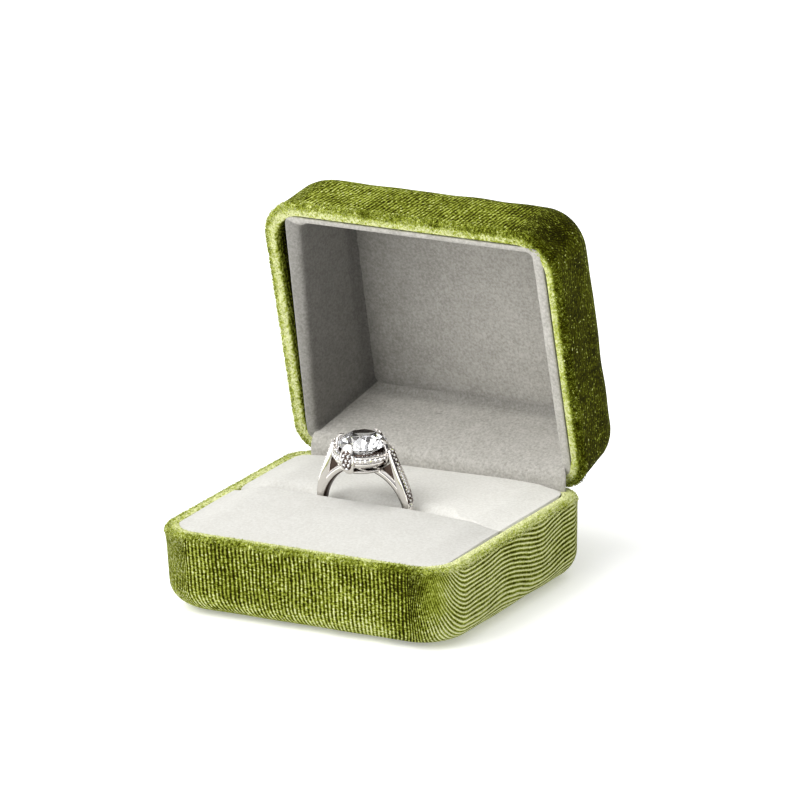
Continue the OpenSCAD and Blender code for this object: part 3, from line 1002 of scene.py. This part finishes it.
@dataclass
class HaloRing:
    """Ring with a round stone in a beaded halo on split shoulders, in millimetres."""

    x: float = -1.4
    y: float = 1.2
    z: float = 14.0
    inside: float = 8.25
    thick: float = 1.35
    width: float = 2.0
    stone: float = 4.4
    halo: float = 5.1
    rail_z: float = 24.9
    girdle_z: float = 26.8
    table_z: float = 28.5
    leaf_z: float = 25.2
    leaf_reach: float = 2.7
    halo_count: int = 36
    shoulder_count: int = 14
    shoulder: tuple[tuple[float, ...], ...] = (
        (8.85, 15.0, 0.9, 2.2), (8.7, 17.0, 1.3, 2.2), (8.1, 19.0, 1.75, 2.15), (7.55, 20.6, 1.7, 2.05),
        (7.05, 22.2, 1.25, 1.95), (6.35, 24.2, 1.0, 1.8), (5.6, 26.2, 0.9, 1.6))
    claw: tuple[tuple[float, ...], ...] = (
        (4.75, 23.6, 0.55), (5.15, 25.2, 0.62), (5.0, 26.4, 0.60), (4.75, 27.3, 0.56), (4.35, 27.8, 0.48),
        (3.9, 27.95, 0.30))
    slim_claw: tuple[tuple[float, ...], ...] = (
        (4.6, 24.6, 0.4), (4.8, 25.6, 0.45), (4.85, 26.5, 0.45), (4.7, 27.4, 0.42), (4.35, 27.85, 0.38),
        (4.0, 27.95, 0.26))

    def at(self, x: float, y: float, z: float) -> Vector:
        """A point given from the ring's upright axis, with z over the table."""
        return Vector((self.x + x, self.y + y, z))

    def on_rail(self, out: Vector, past: float, rise: float) -> Vector:
        """A point past the halo's radius in a direction, and over the rail."""
        return self.at(0, 0, self.rail_z + rise) + out * (self.halo + past)

    def turned(self, profile: Iterable[tuple[float, float]], steps: int) -> Mesh:
        """A profile of (radius, z) spun about the ring's upright axis."""
        return lathed(profile, steps, self.at(0, 0, 0), UP)

    def hooped(self, edge: Sequence[tuple[float, float]], steps: int) -> Mesh:
        """A mirrored profile spun about the finger's axis, given as (radius, distance from the middle)."""
        profile = [(radius, -across) for radius, across in edge] + list(reversed(edge))
        return lathed(profile, steps, self.at(0, 0, self.z), Vector((0, -1, 0)))

    def hoop(self) -> Mesh:
        """The band with its rounded section."""
        half, low, high = self.width / 2, self.inside, self.inside + self.thick
        edge = [(low, half - 0.3), (low + 0.2, half), (high - 0.3, half), (high, half - 0.35)]
        return self.hooped(edge, 120)

    def bar(self, path: Sequence[tuple[float, ...]]) -> Mesh:
        """A flat bar in the ring's plane.

        Args:
            path: its stations as (x, z, thickness in the plane, width across it).

        Returns:
            The bar's skin.
        """
        def place(round_share: float, along_share: float) -> Vector:
            """Point of a rounded rectangular section, closed at both ends."""
            along = min(max((along_share - 0.05) / 0.9, 0.0), 1.0)
            x, z, thick, width = station(path, along)
            ahead, behind = station(path, min(along + 0.02, 1.0)), station(path, max(along - 0.02, 0.0))
            lead = Vector((ahead[0] - behind[0], 0, ahead[1] - behind[1])).normalized()
            out = Vector((lead.z, 0, -lead.x))
            keep = 0.0 if along_share in (0.0, 1.0) else 1.0
            angle = TURN * round_share
            sides = [math.copysign(abs(turn) ** 0.35, turn) * size / 2 * keep
                     for turn, size in ((math.cos(angle), thick), (math.sin(angle), width))]
            return self.at(x, sides[1], z) + out * sides[0]

        return lofted(24, 24, place)

    def shoulder_path(self, side: int) -> list[tuple[float, ...]]:
        """Stations of one shoulder, from the hoop up to the head."""
        return [(side * x, *rest) for x, *rest in self.shoulder]

    def shoulder_stones(self) -> tuple[Mesh, Mesh]:
        """Small stones and their beads along the outer faces of the shoulders."""
        stones: list[Mesh] = []
        beads: list[Mesh] = []
        for side in (-1, 1):
            path = self.shoulder_path(side)
            for k in range(self.shoulder_count):
                spot = blend(0.7, 5.9, k / (self.shoulder_count - 1))
                a, b = path[int(spot)], path[int(spot) + 1]
                x, z, thick, _ = station(path, spot / (len(path) - 1))
                lead = Vector((b[0] - a[0], 0, b[1] - a[1])).normalized()
                out = Vector((lead.z, 0, -lead.x)) * side
                centre = self.at(x, 0, z) + out * (thick / 2 + 0.06)
                stones.append(self.chip(centre, out, 0.34))
                beads += [self.bead(centre + lead * 0.4 + Vector((0, across, 0)), 0.17)
                          for across in (-0.5, 0.5)]
        return joined(stones), joined(beads)

    def chip(self, centre: Vector, out: Vector, radius: float) -> Mesh:
        """A small cut stone, facing out."""
        bm = bmesh.new()
        bmesh.ops.create_cone(bm, cap_ends=True, cap_tris=False, segments=8, radius1=radius * MM,
                              radius2=radius * 0.55 * MM, depth=0.24 * MM, matrix=aimed(centre, out))
        return bm

    def bead(self, centre: Vector, radius: float) -> Mesh:
        """A small round bead of metal."""
        bm = bmesh.new()
        place = Matrix.Translation(centre * MM)
        bmesh.ops.create_icosphere(bm, subdivisions=1, radius=radius * MM, matrix=place)
        return bm

    def basket(self) -> Mesh:
        """Polished gallery under the halo: a belt, a lower bar and their feet."""
        foot, edge, z = self.at(0, 0, 0), self.halo, self.rail_z
        belt = self.turned([(edge - 0.05, z - 0.2), (edge - 0.1, z - 0.9), (edge - 0.45, z - 1.35),
                            (edge - 0.9, z - 1.3), (edge - 0.8, z - 0.2)], 72)
        low_bar = self.turned([(3.7, 22.5), (4.1, 22.4), (4.3, 22.75), (4.1, 23.0), (3.6, 22.9)], 64)
        path = [Vector((4.5, 0, z - 1.3)), Vector((4.45, 0, 23.2)), Vector((4.05, 0, 22.8))]
        feet = []
        for k in range(10):
            spots = [foot + Matrix.Rotation(TURN * k / 10 + 0.22 * number, 3, "Z") @ spot
                     for number, spot in enumerate(path)]
            feet += [self.rod(start, end, 0.16) for start, end in zip(spots, spots[1:])]
        return joined([belt, low_bar, *feet])

    def rod(self, start: Vector, end: Vector, radius: float) -> Mesh:
        """A short round rod between two points."""
        bm = bmesh.new()
        aim = end - start
        bmesh.ops.create_cone(bm, cap_ends=True, segments=8, radius1=radius * MM, radius2=radius * MM,
                              depth=(aim.length + radius) * MM, matrix=aimed((start + end) * 0.5, aim))
        return bm

    def well(self) -> Mesh:
        """Painted shade: a dark cup inside the basket, under the stone."""
        z = self.rail_z
        return self.turned([(4.3, z + 1.0), (4.1, z + 1.0), (3.9, z), (3.1, 22.7), (3.5, 22.6),
                            (4.2, z - 1.2), (4.4, z)], 64)

    def shaded(self) -> Mesh:
        """Painted shade: dark metal on the inside of the band, and dark webs between the band and the
        shoulders.
        """
        lining = self.hooped([(self.inside + 0.05, 0.8), (self.inside - 0.05, 0.75)], 96)
        web = ((7.0, 20.6, 0.5), (6.1, 21.9, 1.2), (5.0, 23.3, 1.9))
        webs = [self.bar([(side * x, z, thick, 1.1) for x, z, thick in web]) for side in (-1, 1)]
        return joined([lining, *webs])

    def pave_shade_strip(self, side: int) -> Mesh:
        """Painted shade: a dark strip between the small stones on a shoulder's outer face."""
        return self.bar([(x + side * 0.47 * thick, z, 0.14, width - 0.45)
                         for x, z, thick, width in self.shoulder_path(side)[1:]])

    def rail(self) -> Mesh:
        """The halo's metal rail."""
        edge, z = self.halo, self.rail_z
        return self.turned([(edge + 0.25, z), (edge + 0.2, z + 0.5), (edge - 0.2, z + 0.75),
                            (edge - 0.9, z + 0.6), (edge - 1.0, z), (edge - 0.6, z - 0.35),
                            (edge, z - 0.35)], 96)

    def halo_stones(self) -> tuple[Mesh, Mesh]:
        """Stones and beads round the halo, on its outside and on its top."""
        stones: list[Mesh] = []
        beads: list[Mesh] = []
        for k in range(self.halo_count):
            out = level(TURN * (k + 0.5) / self.halo_count)
            lean = (out + Vector((0, 0, 2.2))).normalized()
            stones += [self.chip(self.on_rail(out, 0.24, 0.15), out, 0.34),
                       self.chip(self.on_rail(out, -0.45, 0.68), lean, 0.33)]
            between = level(TURN * k / self.halo_count)
            beads += [self.bead(self.on_rail(between, past, rise), radius)
                      for past, rise, radius in ((0.2, 0.55, 0.17), (0.16, -0.25, 0.15), (-0.75, 0.72, 0.15))]
        return joined(stones), joined(beads)

    def prong(self, turn: float, leafed: bool) -> Mesh:
        """One claw, up the side of the head and over the stone's edge, slimmer behind a leaf."""
        profile = self.slim_claw if leafed else self.claw

        def place(round_share: float, along_share: float) -> Vector:
            """Point of the claw's round skin."""
            radius, z, size = station(profile, along_share)
            if along_share in (0.0, 1.0):
                size = 0.0
            angle = TURN * round_share
            local = Vector((radius + size * 0.75 * math.cos(angle), size * math.sin(angle), z))
            return self.at(0, 0, 0) + Matrix.Rotation(turn, 3, "Z") @ local

        return lofted(14, 30, place)

    def leaf_bow(self, z: float, wide: float) -> float:
        """How far the leaf's plate stands out at a height, where it is wide."""
        return 5.15 + 0.30 * wide - 0.35 * smooth(24.3, 22.2, z) - 0.5 * smooth(26.2, 27.9, z)

    def leaf(self, turn: float) -> list[Mesh]:
        """Beaded leaf under a claw: its plate, a dark lens of painted shade on it, stones and beads."""
        spin = Matrix.Rotation(turn, 3, "Z")

        def lens(size: float, lift: float) -> Mesh:
            """The leaf's plate, or the dark lens of painted shade on it."""
            def place(round_share: float, along_share: float) -> Vector:
                """Point of the lens-shaped plate."""
                angle = TURN * round_share
                wide = math.sin(math.pi * along_share) ** 0.8
                z = self.leaf_z + self.leaf_reach * size * math.cos(math.pi * along_share)
                bow = self.leaf_bow(z, wide) + lift + 0.3 * wide * math.cos(angle)
                return self.at(0, 0, 0) + spin @ Vector((bow, 1.4 * size * wide * math.sin(angle), z))

            return lofted(20, 24, place)

        stones: list[Mesh] = []
        beads: list[Mesh] = []
        for rise, offsets in ((1.6, (0.0,)), (0.85, (-0.45, 0.45)), (0.05, (-0.8, 0.0, 0.8)),
                              (-0.75, (-0.45, 0.45)), (-1.5, (0.0,))):
            z = self.leaf_z + rise
            wide = math.sqrt(1 - (rise / self.leaf_reach) ** 2)
            radius = self.leaf_bow(z, wide) + 0.09 + 0.29 * wide
            for offset in offsets:
                centre = self.at(0, 0, z) + spin @ Vector((radius, offset, 0))
                stones.append(self.chip(centre, spin @ Vector((1, 0, 0)), 0.33))
                beads += [self.bead(centre + spin @ Vector((0, step, 0.36)), 0.15) for step in (-0.36, 0.36)]
        return [lens(1.0, 0.0), lens(0.84, 0.07), joined(stones), joined(beads)]

    def brilliant(self) -> Mesh:
        """The round centre stone, faceted from the hull of its corners."""
        bm = bmesh.new()
        rings = ((8, 0.56, self.table_z, 0.5), (8, 0.80, blend(self.girdle_z, self.table_z, 0.62), 0.0),
                 (16, 1.0, self.girdle_z + 0.14, 0.0), (16, 1.0, self.girdle_z - 0.10, 0.0),
                 (8, 0.55, self.girdle_z - 1.45, 0.5))
        for count, share, z, shift in rings:
            for k in range(count):
                out = level(TURN * (k + shift) / count)
                bm.verts.new((self.at(0, 0, z) + out * self.stone * share) * MM)
        bm.verts.new(self.at(0, 0, self.girdle_z - 2.75) * MM)
        bmesh.ops.convex_hull(bm, input=bm.verts)
        return bm

    def build(self, gold: Material, dark: Material, gem: Material,
              crystal: Material) -> None:
        """Makes the ring's pieces, which ride on the base."""
        shoulders = [self.bar(self.shoulder_path(side)) for side in (-1, 1)]
        chips, beads = self.shoulder_stones()
        halo_chips, halo_beads = self.halo_stones()
        turns = [math.radians(angle) for angle in (-90, 0, 90, 180)]
        claws = [self.prong(turn, number % 2 == 0) for number, turn in enumerate(turns)]
        plates, leaf_shades, leaf_chips, leaf_beads = zip(self.leaf(turns[0]), self.leaf(turns[2]))
        pave_shade_strips = [self.pave_shade_strip(side) for side in (-1, 1)]
        pieces = (
            ("band_with_shoulders", [self.hoop(), *shoulders, beads], gold, "ring_band"),
            ("gallery_basket", [self.basket()], gold, "ring_basket"),
            ("basket_shade_well", [self.well()], dark, ""),
            ("halo_rail", [self.rail(), halo_beads], gold, "ring_halo"),
            ("claws_and_leaves", [*claws, *plates, *leaf_beads], gold, "ring_prongs"),
            ("painted_shade_faces", [*leaf_shades, *pave_shade_strips, self.shaded()], dark, ""),
            ("round_brilliant", [self.brilliant()], gem, "centre_stone"),
            ("halo_chips", [halo_chips, *leaf_chips], crystal, "halo_stones"),
            ("shoulder_chips", [chips], crystal, "shoulder_stones"),
        )
        for name, parts, material, node in pieces:
            metal = material in (gold, dark)
            piece = finished(name, joined(parts), material, "base", metal)
            if node:
                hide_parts(node)


# ---------------------------------------------------------------- pile


@dataclass
class PileFringe:
    """Upright strands of pile along a rim, which break up its outline."""

    cover: VelvetCover
    count: int
    seed: int
    length: float = 0.36
    thick: float = 0.09
    tip: float = 0.012

    def strand(self, rng: random.Random) -> tuple[Vector, Vector, float] | None:
        """Draws one strand.

        Args:
            rng: the fringe's source of chance.

        Returns:
            Its foot and tip in millimetres and its tone, or None where the hinge is.
        """
        form = self.cover.form
        share = rng.random()
        turn = rng.random() * QUARTER * 1.25
        inset = form.rim * (1 - math.cos(min(turn, QUARTER))) + max(turn - QUARTER, 0) * 2.2
        height = form.rim * (1 - math.sin(min(turn, QUARTER)))
        sizes = (BOX_W / 2 - inset, BOX_D / 2 - inset, form.corner - 0.8 * inset)
        point, normal = self.cover.outline.at(share, *sizes)
        lean = Vector((rng.uniform(-1, 1), rng.uniform(-1, 1), rng.uniform(-1, 1))) * 0.8
        length = self.length * rng.uniform(0.5, 1.15) * blend(0.55, 1.0, smooth(0.3, 1.2, turn))
        # Strands take the cover's painted light and shade, with a random painted highlight on top.
        shine = self.cover.tone(point, normal, height, inset, 0) + rng.uniform(-0.05, 0.42)
        if point.y > REAR_Y and abs(point.x) < HINGE_HALF + 2:
            return None
        aim = (normal * math.cos(turn) - UP * math.sin(turn) + lean).normalized() * length
        tip = self.cover.set_down(point + Vector((aim.x, aim.y, 0)), height + aim.z)
        return self.cover.set_down(point, height), tip, shine

    def build(self, material: Material) -> None:
        """Plants the strands on the cover's rim."""
        rng = random.Random(self.seed)
        batches: list[Mesh] = []
        for number in range(self.count):
            if number % 150 == 0:
                bm = bmesh.new()
                pile, nap = [bm.verts.layers.float_vector.new(name) for name in ("pile", "nap")]
                batches.append(bm)
            drawn = self.strand(rng)
            if drawn is None:
                continue
            foot, tip, shine = drawn
            made = bmesh.ops.create_cone(bm, cap_ends=True, segments=3, radius1=self.thick * MM,
                                         radius2=self.tip * MM, depth=(tip - foot).length * MM,
                                         matrix=aimed((foot + tip) * 0.5, tip - foot))
            for vert in made["verts"]:
                vert[pile] = (0, 0, shine)
                vert[nap] = (0, 0.4, 0)
        body = self.cover.half.value
        finished(f"{body}_pile", joined(batches), material, body, smooth_shade=False)


# ---------------------------------------------------------------- studio


@dataclass
class Studio:
    """Floor, lights and camera."""

    azimuth: float = math.radians(31.517)
    elevation: float = math.radians(17.932)
    roll: float = math.radians(-2.550)
    distance: float = 1.472
    side_shift: float = 0.005745
    rise_shift: float = 0.012517
    aim_height: float = 0.022
    lens: float = 379.2

    def floor(self) -> None:
        """Wide pale floor under the box."""
        bm = bmesh.new()
        bmesh.ops.create_grid(bm, x_segments=1, y_segments=1, size=6.0)
        mesh = bpy.data.meshes.new("floor")
        bm.to_mesh(mesh)
        bm.free()
        floor = placed("floor", mesh)
        floor.location.z = -FIT * MM
        graph = Graph(bpy.data.materials.new("pale floor"))
        graph.set(Base_Color=(0.93, 0.93, 0.93), Roughness=0.9, Emission_Color=(1.0, 1.0, 1.0),
                  Emission_Strength=0.3)
        mesh.materials.append(graph.owner)

    def camera(self) -> None:
        """Camera on the box, far off with a long lens."""
        back = Vector((math.sin(self.azimuth) * math.cos(self.elevation),
                       -math.cos(self.azimuth) * math.cos(self.elevation), math.sin(self.elevation)))
        right = Vector((math.cos(self.azimuth), math.sin(self.azimuth), 0))
        up = back.cross(right)
        cos_r, sin_r = math.cos(self.roll), math.sin(self.roll)
        side = right * cos_r + up * sin_r
        rise = up * cos_r - right * sin_r
        data = bpy.data.cameras.new("studio camera")
        data.lens = self.lens
        data.sensor_width = 36
        data.clip_end = 50
        camera = placed("studio camera", data)
        turn = Matrix((side, rise, back)).transposed().to_4x4()
        spot = Vector((0, 0, self.aim_height)) + side * self.side_shift + rise * self.rise_shift
        camera.matrix_world = Matrix.Translation(spot + back * self.distance) @ turn
        bpy.context.scene.camera = camera

    def lamp(self, name: str, place: Vector, aim: Vector, size: float, power: float) -> None:
        """One square soft light."""
        data = bpy.data.lights.new(name, "AREA")
        data.size = size
        data.energy = power
        lamp = placed(name, data)
        lamp.location = place
        lamp.rotation_euler = (aim - place).to_track_quat("-Z", "Y").to_euler()

    def lights(self) -> None:
        """Soft key from the upper left, weak fill and a pale sky."""
        middle = Vector((0, 0, 0.03))
        self.lamp("key", Vector((-0.65, -0.6, 1.35)), middle, 1.5, 22)
        self.lamp("fill", Vector((-0.8, -1.3, 0.6)), middle, 1.0, 3)
        world = bpy.data.worlds.new("pale sky")
        sky = Graph(world)
        x, _, z = sky.split(sky.node("ShaderNodeTexCoord").outputs["Generated"])
        across = sky.math("MULTIPLY_ADD", x, -0.40, z)
        shades = ((0.0, (0.10, 0.10, 0.105)), (0.25, (0.45, 0.45, 0.455)), (0.6, (1.2, 1.2, 1.2)))
        sky.set(Color=sky.ramp(across, shades), Strength=0.9)
        bpy.context.scene.world = world

    def build(self) -> None:
        """Sets the whole stage."""
        self.floor()
        self.camera()
        self.lights()
        bpy.context.scene.view_settings.view_transform = "Standard"


# ---------------------------------------------------------------- the box


@dataclass
class Fittings:
    """CAD nodes that keep their shape and get a finish."""

    nodes: dict[str, bpy.types.Object]

    def dress(self) -> None:
        """Gives each kept node its material."""
        card = SolidFinish("grey card", srgb(165, 160, 148))
        olive = SolidFinish("olive card", srgb(92, 96, 44))
        shell = SolidFinish("moulded shell", srgb(214, 208, 192))
        brass = SolidFinish("hinge brass", srgb(176, 150, 92), 0.35, metallic=1.0)
        steel = SolidFinish("pin steel", srgb(150, 150, 150), 0.3, metallic=1.0)
        for finish, names in ((olive, ("bottom_card",)), (card, ("insert_tray",)),
                              (shell, ("base_shell", "lid_shell")),
                              (brass, ("hinge_leaf_base", "hinge_leaf_lid")),
                              (steel, ("hinge_pin", "snap_spring"))):
            material = finish.material()
            for name in names:
                data = self.nodes[name].data
                data.materials.clear()
                data.materials.append(material)


def main() -> None:
    """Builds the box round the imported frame."""
    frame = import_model()
    Fittings(frame["nodes"]).dress()
    velvet = VelvetFinish("green velvet").material()
    base = VelvetCover(Half.BASE, HalfForm(BASE_H, 4.0, 5.0, 0.03, 0.03), "velvet_base_cover", (0.097, 0.087),
                       0.0070)
    lid = VelvetCover(Half.LID, HalfForm(LID_H, 9.0, 9.0, 0.08, 0.05), "velvet_lid_cover", (0.098, 0.088),
                      0.0071, lay_angle=math.radians(-6))
    for cover in (base, lid):
        cover.build(velvet)
    for cover, seed in ((base, 11), (lid, 23)):
        PileFringe(cover, 9000, seed).build(velvet)
    light, dark = srgb(208, 205, 198, 0.86), srgb(172, 169, 161, 0.86)
    liner_suede = SuedeFinish("liner suede", light, dark).material()
    Liner().build(liner_suede)
    HingeFlap().build(liner_suede)
    # The rear roll's suede is a lighter copy of the front roll's, painted light that offsets the open lid's
    # shadow.
    for roll, gain in ((Roll.FRONT, 0.70), (Roll.REAR, 0.86)):
        light, dark = srgb(240, 239, 233, gain), srgb(224, 222, 215, gain)
        CushionRoll(roll).build(SuedeFinish(f"{roll.value} roll suede", light, dark, 0.00005).material())
    gold = SolidFinish("white gold", (0.78, 0.75, 0.72), 0.07, metallic=1.0).material()
    # Dark metal of painted shade, for the band's inside, the webs, the basket's cup, the leaves' lenses and
    # the strips between the small stones.
    shade = SolidFinish("painted shade metal", (0.09, 0.065, 0.055), 0.35, metallic=1.0).material()
    gem = SolidFinish("clear brilliant", (0.97, 0.97, 1.0), 0.0, clear=1.0, index=2.1).material()
    crystal = SolidFinish("bright chip", (0.95, 0.95, 0.97), 0.04, metallic=1.0).material()
    HaloRing().build(gold, shade, gem, crystal)
    Studio().build()
    bpy.context.view_layer.update()


if __name__ == "__main__":
    logging.basicConfig(level=logging.INFO, format="%(message)s")
    main()
